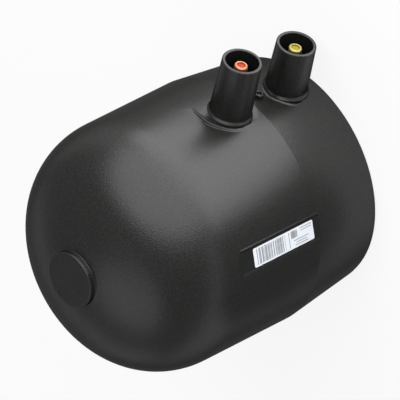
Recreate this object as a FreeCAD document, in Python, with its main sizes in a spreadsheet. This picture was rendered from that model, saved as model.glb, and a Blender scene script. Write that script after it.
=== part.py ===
"""Electrofusion end cap for a 63 mm polyethylene pipe, in millimetres.

The cap stands on its mouth, with its axis on +Z and the mouth's face at z = 0. The
two terminal towers point along +X. The label's pocket is on the -Y side.
"""
import FreeCAD
import Part
import Sketcher
import math
import os

V = FreeCAD.Vector

# Driving dimensions, in millimetres and degrees
SIZES = {
    # outer form of the cap: the walls are measured from the bore
    "body_wall": 6.7,
    "mouth_wall": 3.5,
    "mouth_round": 1.6,
    "kink_z": 26.5,
    "shoulder_z": 60.3,
    "knuckle_r": 26.0,
    "crown_r": 51.2,
    "gate_r": 8.7,
    "gate_rise": 1.2,
    "gate_bevel": 0.3,
    # socket for the pipe and the domed chamber behind it
    "bore_r": 31.8,
    "lead_in": 0.8,
    "lead_in_depth": 2.0,
    "stop_z": 50.0,
    "stop_step": 1.8,
    "dome_wall": 10.1,
    "chamber_bevel": 15.5,
    # terminal towers
    "tower_lean": 2.3,
    "dome_tower_z": 33.8,
    "mouth_tower_z": 10.5,
    "dome_tower_top": 18.3,
    "mouth_tower_top": 14.3,
    "dome_tower_seat": 0.55,
    "mouth_tower_seat": 0.05,
    "seat_r": 9.4,
    "tower_rim_r": 5.95,
    "tower_foot_r": 6.25,
    "collar_r": 6.9,
    "collar_rise": 0.7,
    "collar_slope": 1.15,
    "tower_root": 2.0,
    "lip_bevel": 0.3,
    "shroud_r": 4.95,
    "shroud_floor_r": 4.7,
    "shroud_depth": 12.0,
    # terminal pins with their cores
    "pin_r": 2.0,
    "pin_recess": 1.5,
    "pin_bevel": 0.3,
    "pin_flange_r": 2.9,
    "pin_flange_t": 1.2,
    "pin_root_r": 2.4,
    "pin_root_end": 4.6,
    "core_r": 1.3,
    "core_depth": 6.0,
    "core_sink": 0.15,
    "core_crown": 0.25,
    "insert_clear": 0.02,
    # heating wire
    "wire_r": 0.45,
    "wire_turns": 6,
    "wire_clear": 0.03,
    "wire_entry": 1.6,
    "wire_hole_clear": 0.15,
    # fusion indicator between the towers
    "indicator_z": 22.15,
    "indicator_rise": 1.4,
    "indicator_r": 1.36,
    "indicator_hole_r": 0.8,
    "indicator_depth": 4.4,
    "indicator_pin_clear": 0.06,
    "indicator_sink": 0.6,
    # label and its pocket
    "label_turn": 24.0,
    "pocket_z": 41.8,
    "pocket_long": 32.4,
    "pocket_high": 6.9,
    "pocket_depth": 0.5,
    "pocket_corner": 0.8,
    "label_z": 40.45,
    "label_long": 24.2,
    "label_high": 6.0,
    "label_t": 0.12,
    "label_corner": 0.5,
    "label_lift": -0.1,
}


class Size:
    """A number with the expression that gives it in the document."""

    def __init__(self, value, text):
        self.value = float(value)
        self.text = text

    @staticmethod
    def of(other):
        return other if isinstance(other, Size) else Size(other, repr(float(other)))

    def join(self, other, mark, value):
        return Size(value, "(%s %s %s)" % (self.text, mark, other.text))

    def __add__(self, other):
        other = Size.of(other)
        return self.join(other, "+", self.value + other.value)

    def __sub__(self, other):
        other = Size.of(other)
        return self.join(other, "-", self.value - other.value)

    def __rsub__(self, other):
        return Size.of(other) - self

    def __mul__(self, other):
        other = Size.of(other)
        return self.join(other, "*", self.value * other.value)

    def __truediv__(self, other):
        other = Size.of(other)
        return self.join(other, "/", self.value / other.value)

    def __neg__(self):
        return Size.of(0.0) - self


def root(size):
    return Size(math.sqrt(size.value), "sqrt(%s)" % size.text)


def sine(degrees):
    return Size(math.sin(math.radians(degrees.value)), "sin(%s * 1 deg)" % degrees.text)


def cosine(degrees):
    return Size(math.cos(math.radians(degrees.value)), "cos(%s * 1 deg)" % degrees.text)


def arc_tangent(slope):
    return Size(math.degrees(math.atan(slope.value)), "(atan(%s) / 1 deg)" % slope.text)


doc = FreeCAD.newDocument("electrofusion_end_cap")
sheet = doc.addObject("Spreadsheet::Sheet", "Sizes")
SIZE = {}
for row, (name, number) in enumerate(SIZES.items(), start=1):
    sheet.set("A%d" % row, name)
    sheet.set("B%d" % row, str(number))
    sheet.setAlias("B%d" % row, name)
    SIZE[name] = Size(number, "Sizes." + name)
doc.recompute()

ZERO = Size.of(0.0)


def bind(thing, path, size):
    """Ties one property of an object, or one constraint of a sketch, to the sheet."""
    thing.setExpression(path, size.text)


def plane_of(body, role):
    for feature in body.Origin.OriginFeatures:
        if feature.Role == role:
            return feature
    raise ValueError(role)


def new_body(name):
    body = doc.addObject("PartDesign::Body", name)
    body.Label = name
    return body


def new_sketch(body, name, role, base=None, axis=None, turn=None):
    """A sketch on one of the body's own planes, moved by base and turned about axis."""
    sketch = body.newObject("Sketcher::SketchObject", name)
    sketch.AttachmentSupport = [(plane_of(body, role), "")]
    sketch.MapMode = "FlatFace"
    base = base or (ZERO, ZERO, ZERO)
    rotation = FreeCAD.Rotation(axis, turn.value) if axis else FreeCAD.Rotation()
    sketch.AttachmentOffset = FreeCAD.Placement(V(*[size.value for size in base]), rotation)
    for letter, size in zip("xyz", base):
        if size is not ZERO:
            bind(sketch, "AttachmentOffset.Base.%s" % letter, size)
    if axis:
        bind(sketch, "AttachmentOffset.Rotation.Angle", turn * Size(1.0, "1 deg"))
    return sketch


def hold(sketch, geometry, end, x, y):
    """Ties one point of the sketch to its distances from the sketch's origin."""
    for kind, axis, size in (("DistanceX", -2, x), ("DistanceY", -1, y)):
        if size is ZERO:
            sketch.addConstraint(Sketcher.Constraint("PointOnObject", geometry, end, axis))
            continue
        number = sketch.addConstraint(Sketcher.Constraint(kind, -1, 1, geometry, end, size.value))
        bind(sketch, "Constraints[%d]" % number, size)


def arc_between(start, end, radius, side):
    """The short arc from start to end; side is 1 with its centre on the left, or -1."""
    along = end - start
    height = math.sqrt(radius ** 2 - (along.Length / 2.0) ** 2)
    left = V(-along.y, along.x, 0).normalize()
    centre = (start + end) * 0.5 + left * height * side
    first, last = (start, end) if side == 1 else (end, start)
    angles = [math.atan2(point.y - centre.y, point.x - centre.x) for point in (first, last)]
    return Part.ArcOfCircle(Part.Circle(centre, V(0, 0, 1), radius), angles[0], angles[1])


def outline(sketch, steps):
    """Draws a closed outline, each step being the end of a line or of an arc.

    A line's step is (x, y), and an arc's is (x, y, radius, side) with side as above.
    """
    points = [V(step[0].value, step[1].value, 0) for step in steps]
    for index, step in enumerate(steps):
        start, end = points[index - 1], points[index]
        if len(step) == 2:
            sketch.addGeometry(Part.LineSegment(start, end), False)
        else:
            sketch.addGeometry(arc_between(start, end, step[2].value, step[3]), False)
    for index, step in enumerate(steps):
        following = (index + 1) % len(steps)
        finish = 1 if is_clockwise(step) else 2
        begin = 2 if is_clockwise(steps[following]) else 1
        sketch.addConstraint(Sketcher.Constraint("Coincident", index, finish, following, begin))
        hold(sketch, index, finish, step[0], step[1])
        if len(step) == 4:
            hold_radius(sketch, index, step[2])


def is_clockwise(step):
    """A sketch keeps each arc anticlockwise, so this one's ends are the other way round."""
    return len(step) == 4 and step[3] == -1


def hold_radius(sketch, geometry, radius):
    number = sketch.addConstraint(Sketcher.Constraint("Radius", geometry, radius.value))
    bind(sketch, "Constraints[%d]" % number, radius)


def circle(sketch, x, y, radius):
    middle = V(x.value, y.value, 0)
    index = sketch.addGeometry(Part.Circle(middle, V(0, 0, 1), radius.value), False)
    hold(sketch, index, 3, x, y)
    hold_radius(sketch, index, radius)


def rounded_rectangle(sketch, x, y, half_wide, half_high, corner):
    """A rectangle with round corners, centred on (x, y)."""
    left, right = x - half_wide, x + half_wide
    low, high = y - half_high, y + half_high
    outline(sketch, [
        (left + corner, low, corner, 1),
        (right - corner, low),
        (right, low + corner, corner, 1),
        (right, high - corner),
        (right - corner, high, corner, 1),
        (left + corner, high),
        (left, high - corner, corner, 1),
        (left, low + corner),
    ])


def turned(body, kind, name, sketch):
    """Revolves a sketch once round its own vertical axis: a Revolution or a Groove."""
    feature = body.newObject("PartDesign::" + kind, name)
    feature.Profile = sketch
    feature.ReferenceAxis = (sketch, ["V_Axis"])
    feature.Angle = 360.0
    sketch.Visibility = False
    body.Tip = feature
    return feature


def pushed(body, kind, name, sketch, length, backwards=False):
    """Pads or pockets a sketch by a length."""
    feature = body.newObject("PartDesign::" + kind, name)
    feature.Profile = sketch
    feature.Length = length.value
    bind(feature, "Length", length)
    feature.Reversed = backwards
    sketch.Visibility = False
    body.Tip = feature
    return feature


# The dome: a knuckle arc and a crown arc that meet at a tangent point
bore_r = SIZE["bore_r"]
body_r = bore_r + SIZE["body_wall"]
mouth_r = bore_r + SIZE["mouth_wall"]
knuckle_r = SIZE["knuckle_r"]
crown_r = SIZE["crown_r"]
shoulder_z = SIZE["shoulder_z"]
knuckle_x = body_r - knuckle_r
crown_gap = crown_r - knuckle_r
crown_down = root(crown_gap * crown_gap - knuckle_x * knuckle_x)
crown_z = shoulder_z - crown_down
dome_top_z = crown_z + crown_r


def skirt_drop(z):
    """How far the tapered skirt lies inside the body's radius at height z."""
    mouth_round, kink_z = SIZE["mouth_round"], SIZE["kink_z"]
    if z.value >= kink_z.value:
        return Size.of(0.0)
    return (body_r - mouth_r) * (kink_z - z) / (kink_z - mouth_round)


def shell_outline():
    """Half section of the cap: outside from the mouth up to the gate, then back inside."""
    mouth_round, lead_in = SIZE["mouth_round"], SIZE["lead_in"]
    gate_r, gate_bevel = SIZE["gate_r"], SIZE["gate_bevel"]
    gate_top = dome_top_z + SIZE["gate_rise"]
    gate_foot = crown_z + root(crown_r * crown_r - gate_r * gate_r)
    chamber_r = bore_r - SIZE["stop_step"]
    chamber_z, bevel = dome_top_z - SIZE["dome_wall"], SIZE["chamber_bevel"]
    joint_x = crown_r * knuckle_x / crown_gap
    joint_z = crown_z + crown_r * crown_down / crown_gap
    return [
        (mouth_r - mouth_round, ZERO),
        (mouth_r, mouth_round, mouth_round, 1),
        (body_r, SIZE["kink_z"]),
        (body_r, shoulder_z),
        (joint_x, joint_z, knuckle_r, 1),
        (gate_r, gate_foot, crown_r, 1),
        (gate_r, gate_top - gate_bevel),
        (gate_r - gate_bevel, gate_top),
        (ZERO, gate_top),
        (ZERO, chamber_z),
        (chamber_r - bevel, chamber_z),
        (chamber_r, chamber_z - bevel),
        (chamber_r, SIZE["stop_z"]),
        (bore_r, SIZE["stop_z"]),
        (bore_r, SIZE["lead_in_depth"]),
        (bore_r + lead_in, ZERO),
    ]


class Tower:
    """One terminal tower: its place on the cap, and its heights above the cap's side.

    Along the tower, zero is where its axis crosses the cap's largest radius.
    """

    def __init__(self, side):
        self.side = side
        self.z = SIZE[side + "_tower_z"]
        self.top = SIZE[side + "_tower_top"]
        self.seat = -skirt_drop(self.z) - SIZE[side + "_tower_seat"]
        self.floor = self.top - SIZE["shroud_depth"]
        self.pin_top = self.top - SIZE["pin_recess"]
        self.root_end = -SIZE["pin_root_end"]
        # the wire leaves the bore where the tower's axis crosses it
        self.wire_z = self.z + SIZE["body_wall"] * sine(SIZE["tower_lean"])

    def sketch(self, body, name):
        """A sketch on the cap's middle plane, with its vertical axis along the tower."""
        turn = SIZE["tower_lean"] + 90.0
        base = (body_r, self.z, ZERO)
        return new_sketch(body, self.side + "_" + name, "XZ_Plane", base, V(0, 0, -1), turn)


TOWERS = [Tower("dome"), Tower("mouth")]
indicator_top = SIZE["indicator_rise"] - skirt_drop(SIZE["indicator_z"])
wire_r = SIZE["wire_r"]
coil_r = bore_r + wire_r
wire_pitch = (TOWERS[0].wire_z - TOWERS[1].wire_z) / SIZE["wire_turns"]


def tower_features(body, tower):
    """Spot-face, tower and shroud with the hole that holds the pin."""
    spot = tower.sketch(body, "spot_face_section")
    clear = tower.top + 1.0
    seat_r = SIZE["seat_r"]
    outline(spot, [(ZERO, tower.seat), (seat_r, tower.seat), (seat_r, clear), (ZERO, clear)])
    turned(body, "Groove", tower.side + "_spot_face", spot)

    solid = tower.sketch(body, "tower_section")
    collar_top = tower.seat + SIZE["collar_rise"]
    collar_r, rim_r, lip = SIZE["collar_r"], SIZE["tower_rim_r"], SIZE["lip_bevel"]
    outline(solid, [
        (ZERO, tower.seat - SIZE["tower_root"]),
        (collar_r, tower.seat - SIZE["tower_root"]),
        (collar_r, collar_top),
        (SIZE["tower_foot_r"], collar_top + SIZE["collar_slope"]),
        (rim_r, tower.top - lip),
        (rim_r - lip, tower.top),
        (ZERO, tower.top),
    ])
    turned(body, "Revolution", tower.side + "_tower", solid)

    hollow = tower.sketch(body, "shroud_section")
    shroud_r, gap = SIZE["shroud_r"], SIZE["insert_clear"]
    flange_r, root_r = SIZE["pin_flange_r"] + gap, SIZE["pin_root_r"] + gap
    flange_z = tower.floor - SIZE["pin_flange_t"] - gap
    outline(hollow, [
        (ZERO, tower.root_end - gap),
        (root_r, tower.root_end - gap),
        (root_r, flange_z),
        (flange_r, flange_z),
        (flange_r, tower.floor),
        (SIZE["shroud_floor_r"], tower.floor),
        (shroud_r, tower.top - lip),
        (shroud_r + lip, tower.top),
        (shroud_r + lip, clear),
        (ZERO, clear),
    ])
    turned(body, "Groove", tower.side + "_shroud", hollow)


def wire_recess(body):
    """Band in the bore that the winding lies in, flush with the bore's wall."""
    sketch = new_sketch(body, "wire_recess_section", "XZ_Plane")
    inner, outer = bore_r - wire_r, coil_r + wire_r + SIZE["wire_clear"]
    low, high = TOWERS[1].wire_z - wire_r * 2.0, TOWERS[0].wire_z + wire_r * 2.0
    outline(sketch, [(inner, low), (outer, low), (outer, high), (inner, high)])
    turned(body, "Groove", "wire_recess", sketch)


def wire_hole(body, tower):
    """Radial hole from the bore to the pin, for the end of the wire."""
    sketch = new_sketch(body, tower.side + "_wire_hole_circle", "YZ_Plane", (ZERO, ZERO, coil_r))
    circle(sketch, ZERO, tower.wire_z, wire_r + SIZE["wire_clear"])
    length = body_r - SIZE["pin_root_end"] + SIZE["wire_entry"] / 2.0 - coil_r
    pushed(body, "Pocket", tower.side + "_wire_hole", sketch, length, backwards=True)


def build_cap():
    body = new_body("cap_body")
    sketch = new_sketch(body, "shell_section", "XZ_Plane")
    outline(sketch, shell_outline())
    turned(body, "Revolution", "shell", sketch)
    for tower in TOWERS:
        tower_features(body, tower)
    indicator_well(body)
    label_pocket(body)
    wire_recess(body)
    for tower in TOWERS:
        wire_hole(body, tower)
    return body


def indicator_sketch(body, name):
    base = (body_r, SIZE["indicator_z"], ZERO)
    return new_sketch(body, name, "XZ_Plane", base, V(0, 0, -1), Size.of(90.0))


def indicator_well(body):
    """Small boss between the towers, with the blind hole of the fusion indicator."""
    top, depth = indicator_top, SIZE["indicator_depth"]
    boss_r, hole_r = SIZE["indicator_r"], SIZE["indicator_hole_r"]
    boss = indicator_sketch(body, "indicator_boss_section")
    outline(boss, [(ZERO, top - depth), (boss_r, top - depth), (boss_r, top), (ZERO, top)])
    turned(body, "Revolution", "indicator_boss", boss)
    hole = indicator_sketch(body, "indicator_hole_section")
    outline(hole, [(ZERO, top - depth), (hole_r, top - depth), (hole_r, top + 1.0), (ZERO, top + 1.0)])
    turned(body, "Groove", "indicator_hole", hole)


def label_sketch(body, name, out):
    """A sketch square to the cap's radius at the label, at a distance from the axis."""
    turn = SIZE["label_turn"]
    base = (out * sine(turn), ZERO, out * cosine(turn))
    return new_sketch(body, name, "XZ_Plane", base, V(0, 1, 0), turn)


def label_pocket(body):
    floor = body_r - SIZE["pocket_depth"]
    sketch = label_sketch(body, "label_pocket_outline", floor)
    rounded_rectangle(sketch, ZERO, SIZE["pocket_z"], SIZE["pocket_high"] / 2.0,
                      SIZE["pocket_long"] / 2.0, SIZE["pocket_corner"])
    pushed(body, "Pocket", "label_pocket", sketch, SIZE["pocket_depth"] * 2.0, backwards=True)


def build_label():
    body = new_body("barcode_label")
    floor = body_r - SIZE["pocket_depth"]
    sketch = label_sketch(body, "label_outline", floor)
    rounded_rectangle(sketch, SIZE["label_lift"], SIZE["label_z"], SIZE["label_high"] / 2.0,
                      SIZE["label_long"] / 2.0, SIZE["label_corner"])
    pushed(body, "Pad", "label_film", sketch, SIZE["label_t"])
    return body


def along_tower(body, tower):
    """Places a body that is modelled on +Z along the tower's axis."""
    turn = SIZE["tower_lean"] + 90.0
    rotation = FreeCAD.Rotation(V(0, 1, 0), turn.value)
    body.Placement = FreeCAD.Placement(V(body_r.value, 0, tower.z.value), rotation)
    bind(body, "Placement.Base.x", body_r)
    bind(body, "Placement.Base.z", tower.z)
    bind(body, "Placement.Rotation.Angle", turn * Size(1.0, "1 deg"))


def build_pin(tower):
    """Brass terminal pin: contact, flange and root, with a core hole in its tip."""
    body = new_body(tower.side + "_terminal_pin")
    sketch = new_sketch(body, tower.side + "_pin_section", "XZ_Plane")
    pin_r, bevel, root_r = SIZE["pin_r"], SIZE["pin_bevel"], SIZE["pin_root_r"]
    flange_low = tower.floor - SIZE["pin_flange_t"]
    core_floor = tower.pin_top - SIZE["core_depth"]
    hole_r = SIZE["wire_r"] + SIZE["wire_hole_clear"]
    hole_top = tower.root_end + SIZE["wire_entry"] + SIZE["wire_hole_clear"]
    outline(sketch, [
        (hole_r, tower.root_end),
        (root_r, tower.root_end),
        (root_r, flange_low),
        (SIZE["pin_flange_r"], flange_low),
        (SIZE["pin_flange_r"], tower.floor),
        (pin_r, tower.floor),
        (pin_r, tower.pin_top - bevel),
        (pin_r - bevel, tower.pin_top),
        (SIZE["core_r"], tower.pin_top),
        (SIZE["core_r"], core_floor),
        (ZERO, core_floor),
        (ZERO, hole_top),
        (hole_r, hole_top),
    ])
    turned(body, "Revolution", tower.side + "_pin", sketch)
    along_tower(body, tower)
    return body


def build_core(tower, name):
    """Coloured core that fills the hole in a pin's tip, with a low crown."""
    body = new_body(name)
    sketch = new_sketch(body, name + "_section", "XZ_Plane")
    core_r, crown = SIZE["core_r"] - SIZE["insert_clear"], SIZE["core_crown"]
    low = tower.pin_top - SIZE["core_depth"]
    high = tower.pin_top - SIZE["core_sink"]
    sphere_r = (core_r * core_r + crown * crown) / (crown * 2.0)
    outline(sketch, [(ZERO, low), (core_r, low), (core_r, high - crown), (ZERO, high, sphere_r, 1)])
    turned(body, "Revolution", name + "_turned", sketch)
    along_tower(body, tower)
    return body


def half_turn(body, name, middle_z, tilt, backwards):
    """Half a turn of wire in a tilted plane, which starts and ends level over the X axis.

    A turn is two of these, one each side, so that the wire climbs without a corner. Its
    section is drawn with four flats, each a wire's radius from its middle.
    """
    reach = root(coil_r * coil_r + wire_pitch * wire_pitch / 16.0)
    axis = V(0, 0, 1) if tilt.value > 0 else V(0, 0, -1)
    angle = tilt if tilt.value > 0 else -tilt
    sketch = new_sketch(body, name + "_section", "XZ_Plane", (ZERO, middle_z, ZERO), axis, angle)
    inner, outer = reach - wire_r, reach + wire_r
    outline(sketch, [(inner, -wire_r), (outer, -wire_r), (outer, wire_r), (inner, wire_r)])
    feature = turned(body, "Revolution", name, sketch)
    feature.Angle = 180.0
    feature.Reversed = backwards
    return feature


def build_coil():
    """Resistance wire: a winding in the bore's recess with a lead into each pin."""
    body = new_body("heating_coil")
    start = TOWERS[1].wire_z
    tilt = arc_tangent(wire_pitch / (coil_r * 4.0))
    halves = [
        half_turn(body, "rear_half_turn", start + wire_pitch / 4.0, -tilt, True),
        half_turn(body, "front_half_turn", start + wire_pitch * 0.75, tilt, False),
    ]
    pattern = body.newObject("PartDesign::LinearPattern", "winding")
    pattern.Originals = halves
    pattern.Direction = (plane_of(body, "Z_Axis"), [""])
    pattern.Mode = "Spacing"
    pattern.Offset = wire_pitch.value
    pattern.Occurrences = int(SIZE["wire_turns"].value)
    bind(pattern, "Offset", wire_pitch)
    bind(pattern, "Occurrences", SIZE["wire_turns"])
    body.Tip = pattern
    first = coil_r - wire_r
    length = body_r - SIZE["pin_root_end"] + SIZE["wire_entry"] - first
    for tower in TOWERS:
        sketch = new_sketch(body, tower.side + "_lead_circle", "YZ_Plane", (ZERO, ZERO, first))
        circle(sketch, ZERO, tower.wire_z, wire_r)
        pushed(body, "Pad", tower.side + "_lead", sketch, length)
    return body


def build_indicator_pin():
    """Loose pin in the indicator's hole: it rises when the joint melts."""
    body = new_body("indicator_pin")
    top, depth = indicator_top, SIZE["indicator_depth"]
    pin_r = SIZE["indicator_hole_r"] - SIZE["indicator_pin_clear"]
    sketch = indicator_sketch(body, "indicator_pin_section")
    high = top - SIZE["indicator_sink"]
    outline(sketch, [(ZERO, top - depth), (pin_r, top - depth), (pin_r, high), (ZERO, high)])
    turned(body, "Revolution", "indicator_pin_turned", sketch)
    return body


bodies = [
    build_cap(),
    build_coil(),
    build_pin(TOWERS[0]),
    build_core(TOWERS[0], "red_core"),
    build_pin(TOWERS[1]),
    build_core(TOWERS[1], "yellow_core"),
    build_indicator_pin(),
    build_label(),
]
doc.recompute()

for thing in doc.Objects:
    if "Invalid" in thing.State or "Error" in thing.State:
        raise RuntimeError("%s failed: %s" % (thing.Name, thing.State))
for body in bodies:
    if body.Shape.isNull() or not body.Shape.isValid():
        raise RuntimeError(body.Label + " has no valid shape")
    if len(body.Shape.Solids) != 1:
        raise RuntimeError("%s has %d solids" % (body.Label, len(body.Shape.Solids)))

os.makedirs("parts", exist_ok=True)
for body in bodies:
    body.Shape.exportStep("parts/%s.step" % body.Label)
    print("%-20s %9.1f mm3" % (body.Label, body.Shape.Volume))
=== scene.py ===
"""Looks of an electrofusion end cap: finishes, soft edges, winding, label and studio."""

import logging
import math
from dataclasses import dataclass, field
from enum import Enum
from typing import Any, Sequence, Union

import bpy
import numpy as np
from bpy.types import Material, Node, NodeSocket, NodeTree, Object
from mathutils import Matrix, Vector


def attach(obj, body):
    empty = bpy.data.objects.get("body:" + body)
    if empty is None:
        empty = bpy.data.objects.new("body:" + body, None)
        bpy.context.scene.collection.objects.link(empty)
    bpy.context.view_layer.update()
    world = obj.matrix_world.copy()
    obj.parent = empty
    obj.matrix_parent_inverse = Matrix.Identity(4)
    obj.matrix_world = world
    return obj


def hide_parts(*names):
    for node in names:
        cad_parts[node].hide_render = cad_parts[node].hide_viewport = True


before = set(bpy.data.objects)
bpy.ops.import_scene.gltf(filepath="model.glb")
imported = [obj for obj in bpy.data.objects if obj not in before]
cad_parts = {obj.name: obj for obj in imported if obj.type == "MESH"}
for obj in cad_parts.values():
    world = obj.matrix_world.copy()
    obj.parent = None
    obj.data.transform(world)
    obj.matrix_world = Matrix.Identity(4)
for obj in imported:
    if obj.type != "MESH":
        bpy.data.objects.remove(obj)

LOG = logging.getLogger("end_cap")
MM = 0.001
AXIS_R = 1e-6  # a ring with a smaller radius is one point on the axis
NEARLY_STRAIGHT = math.radians(89.5)  # half a corner's angle, past which it stays as it is
SIDE_SHARE = 0.49  # the most of a side that a corner's arc takes up
Point = tuple[float, float]
Corner = tuple[float, float, float]
Colour = tuple[float, float, float]


# ---------------------------- outlines and meshes


def smooth_step(edge_off: float, edge_on: float, value: np.ndarray) -> np.ndarray:
    """Eased ramp at each value, from 0 at the first edge to 1 at the second."""
    ramp = np.clip((value - edge_off) / (edge_on - edge_off), 0.0, 1.0)
    return ramp * ramp * (3.0 - 2.0 * ramp)


def arc(middle: Point, radius: float, start: float, end: float, steps: int) -> list[Point]:
    """Points on an arc from one angle to another in radians, both ends included."""
    angles = np.linspace(start, end, steps + 1)
    return [(middle[0] + radius * math.cos(angle), middle[1] + radius * math.sin(angle))
            for angle in angles]


def rounded(corners: Sequence[Corner], steps: int = 5) -> list[Point]:
    """Outline through corners, each eased with an arc of its own radius.

    Args:
        corners: (x, y, fillet radius) of each corner; the two ends stay as they are.
        steps: number of chords in each arc.

    Returns:
        The outline's points in order.
    """
    points: list[Point] = [corners[0][:2]]
    for before, here, after in zip(corners, corners[1:], corners[2:]):
        at = Vector(here[:2])
        back, ahead = Vector(before[:2]) - at, Vector(after[:2]) - at
        half = back.angle(ahead) / 2.0
        if here[2] <= 0.0 or half > NEARLY_STRAIGHT:
            points.append(here[:2])
            continue
        reach = min(here[2] / math.tan(half), min(back.length, ahead.length) * SIDE_SHARE)
        radius = reach * math.tan(half)
        to_back, to_ahead = back.normalized(), ahead.normalized()
        middle = at + (to_back + to_ahead).normalized() * radius / math.sin(half)
        first, last = at + to_back * reach - middle, at + to_ahead * reach - middle
        turn = first.angle_signed(last)
        for step in range(steps + 1):
            angle = math.atan2(first.y, first.x) - turn * step / steps
            points.append((middle.x + radius * math.cos(angle),
                           middle.y + radius * math.sin(angle)))
    points.append(corners[-1][:2])
    return points


def ring_of(radius: Union[float, np.ndarray], z: float, turn: np.ndarray) -> np.ndarray:
    """Level ring round the upright axis, or the one point that it shrinks to.

    Args:
        radius: one radius for the ring, or one for each column.
        z: height of the ring.
        turn: angles of the columns in radians.

    Returns:
        The ring's points.
    """
    if np.max(radius) < AXIS_R:
        return np.array([[0.0, 0.0, z]])
    level = np.full(len(turn), z)
    return np.stack([radius * np.cos(turn), radius * np.sin(turn), level], axis=1)


def placed(points: np.ndarray, place: Matrix) -> np.ndarray:
    """Points moved by a matrix."""
    move = np.array(place)
    return points @ move[:3, :3].T + move[:3, 3]


def axes_at(x: Sequence[float], y: Sequence[float], z: Sequence[float],
            origin: Sequence[float]) -> Matrix:
    """Matrix of a set of axes.

    Args:
        x: first axis.
        y: second axis.
        z: third axis.
        origin: where they meet.

    Returns:
        The matrix.
    """
    place = Matrix((x, y, z)).transposed().to_4x4()
    place.translation = origin
    return place


def linked(thing: Object) -> Object:
    """Puts a new object in the scene."""
    bpy.context.scene.collection.objects.link(thing)
    return thing


@dataclass
class Shape:
    """Vertices in millimetres and faces of a piece that is being made."""

    vertices: list[tuple[float, float, float]] = field(default_factory=list)
    faces: list[tuple[int, ...]] = field(default_factory=list)

    def grid(self, rings: Sequence[np.ndarray]) -> None:
        """Skins closed rings one after another; a ring of one point is a pole.

        Args:
            rings: arrays of points, each of one point or of the same number of points.
        """
        starts: list[int] = []
        for ring in rings:
            starts.append(len(self.vertices))
            self.vertices.extend(map(tuple, ring))
        for (a, ring_a), (b, ring_b) in zip(zip(starts, rings), zip(starts[1:], rings[1:])):
            count = max(len(ring_a), len(ring_b))
            for i in range(count):
                j = (i + 1) % count
                if len(ring_a) == 1:
                    self.faces.append((a, b + i, b + j))
                elif len(ring_b) == 1:
                    self.faces.append((a + j, a + i, b))
                else:
                    self.faces.append((a + j, a + i, b + i, b + j))

    def turned(self, section: Sequence[Point], steps: int, place: Matrix) -> None:
        """Turns a half section about its vertical axis and puts it in place.

        Args:
            section: (radius, height) from the lower pole out and up to the upper pole.
            steps: number of columns round the axis.
            place: matrix from the section's axis to the part, in millimetres.
        """
        turn = np.linspace(0.0, 2.0 * math.pi, steps, endpoint=False)
        downward = section[::-1]
        self.grid([placed(ring_of(radius, height, turn), place) for radius, height in downward])

    def piece(self, name: str, material: Material, crease: float = 40.0) -> Object:
        """Makes the Blender object, in metres at the origin, with smooth faces.

        Args:
            name: name of the object.
            material: its finish.
            crease: angle in degrees past which an edge stays sharp.

        Returns:
            The linked object.
        """
        mesh = bpy.data.meshes.new(name)
        mesh.from_pydata((np.array(self.vertices) * MM).tolist(), [], self.faces)
        mesh.validate()
        mesh.shade_smooth()
        mesh.set_sharp_from_angle(angle=math.radians(crease))
        mesh.materials.append(material)
        return linked(bpy.data.objects.new(name, mesh))


def settle(piece: Object, slot: str, *nodes: str) -> Object:
    """Lets a piece ride on the part, in the place of CAD nodes.

    Args:
        piece: the finished object.
        slot: material slot in the record; not used.
        nodes: CAD nodes that the piece stands for.

    Returns:
        The same object.
    """
    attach(piece, "root")
    if nodes:
        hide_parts(*nodes)
    LOG.info("%s: %d faces", piece.name, len(piece.data.polygons))
    return piece


# ---------------------------- nodes


Value = Union["Signal", float]


@dataclass(frozen=True)
class Signal:
    """A socket that carries a value, with the operators of node maths."""

    writer: "Writer"
    socket: NodeSocket

    def maths(self, operation: str, *values: Value) -> "Signal":
        """Adds a Math node on the values, in order, and returns its result."""
        inputs = dict(enumerate(values))
        return self.writer.node("ShaderNodeMath", {"operation": operation}, inputs).signal()

    def __add__(self, other: Value) -> "Signal":
        """Sum."""
        return self.maths("ADD", self, other)

    def __sub__(self, other: Value) -> "Signal":
        """Difference."""
        return self.maths("SUBTRACT", self, other)

    def __mul__(self, other: Value) -> "Signal":
        """Product."""
        return self.maths("MULTIPLY", self, other)

    def either(self, other: Value) -> "Signal":
        """Larger of two."""
        return self.maths("MAXIMUM", self, other)

    def ramp(self, low: float, high: float) -> "Signal":
        """Eased step from 0 at low to 1 at high."""
        made = self.writer.node("ShaderNodeMapRange", {"interpolation_type": "SMOOTHSTEP"}, {
            "Value": self, "From Min": low, "From Max": high})
        return made.signal("Result")


@dataclass(frozen=True)
class Made:
    """A node that was added, as a way to its outputs."""

    writer: "Writer"
    node: Node

    def signal(self, name: Union[str, int] = 0) -> Signal:
        """One of the node's outputs."""
        return Signal(self.writer, self.node.outputs[name])


@dataclass
class Writer:
    """A node tree that is being written, with the one way to add a node to it."""

    tree: NodeTree

    def node(self, kind: str, settings: dict[str, Any], inputs: dict[Any, Any]) -> Made:
        """Adds a node.

        Args:
            kind: Blender's name of the node type.
            settings: properties of the node, set first.
            inputs: value, Signal or list of Signals for each named or numbered socket.

        Returns:
            The node.
        """
        made = self.tree.nodes.new(kind)
        for key, value in settings.items():
            setattr(made, key, value)
        for key, value in inputs.items():
            for one in value if isinstance(value, list) else [value]:
                if isinstance(one, Signal):
                    self.tree.links.new(one.socket, made.inputs[key])
                else:
                    made.inputs[key].default_value = one
        return Made(self, made)


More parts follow.
